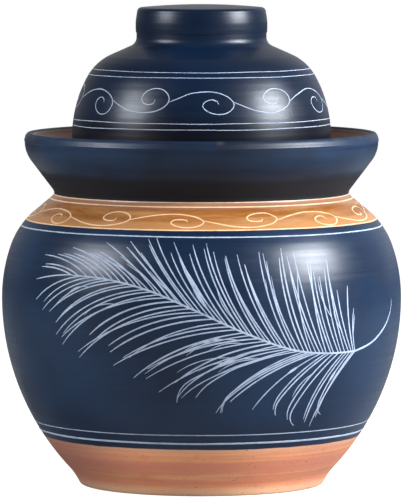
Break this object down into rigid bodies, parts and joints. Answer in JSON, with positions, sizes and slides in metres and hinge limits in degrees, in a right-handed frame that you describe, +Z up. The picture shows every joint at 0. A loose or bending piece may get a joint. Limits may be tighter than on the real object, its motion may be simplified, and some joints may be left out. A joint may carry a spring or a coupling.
{
  "type": "ceramic crock fermenter",
  "caption": "Glazed stoneware fermenting crock with a water-seal moat around its mouth, a domed outer lid that stands in the water, an inner lid and half-round press weights",
  "frame": {"origin": "middle of the foot, on the surface that the crock stands on", "axes": "+Z up along the turning axis of the crock; -Y is the side with the scratched feather"},
  "size_m": [0.25, 0.25, 0.3],
  "materials": {
    "slipped_stoneware": "burnished dark blue slip, satin",
    "brown_glazed_stoneware": "brown glaze, gloss",
    "bare_stoneware": "unglazed fired clay, matt"
  },
  "bodies": {
    "jar": {"jar_body": "slipped_stoneware", "moat_flange": "slipped_stoneware"},
    "outer_lid": {"lid_dome": "slipped_stoneware", "lid_knob": "slipped_stoneware"},
    "inner_cover": {"inner_lid": "brown_glazed_stoneware", "inner_lid_knob": "brown_glazed_stoneware"},
    "left_weight": {"weight_left": "bare_stoneware"},
    "right_weight": {"weight_right": "bare_stoneware"}
  },
  "joints": [
    {"name": "lid_lift", "type": "slide", "parent": "jar", "child": "outer_lid", "axis": [0, 0, 1], "range_m": [0, 0.2]},
    {"name": "inner_lid_lift", "type": "slide", "parent": "jar", "child": "inner_cover", "axis": [0, 0, 1], "range_m": [0, 0.1]},
    {"name": "weight_left_lift", "type": "slide", "parent": "jar", "child": "left_weight", "axis": [0, 0, 1], "range_m": [0, 0.14]},
    {"name": "weight_right_lift", "type": "slide", "parent": "jar", "child": "right_weight", "axis": [0, 0, 1], "range_m": [0, 0.14]}
  ],
  "couplings": [
    {"joint": "inner_lid_lift", "follows": "lid_lift", "ratio": 0.5}
  ]
}
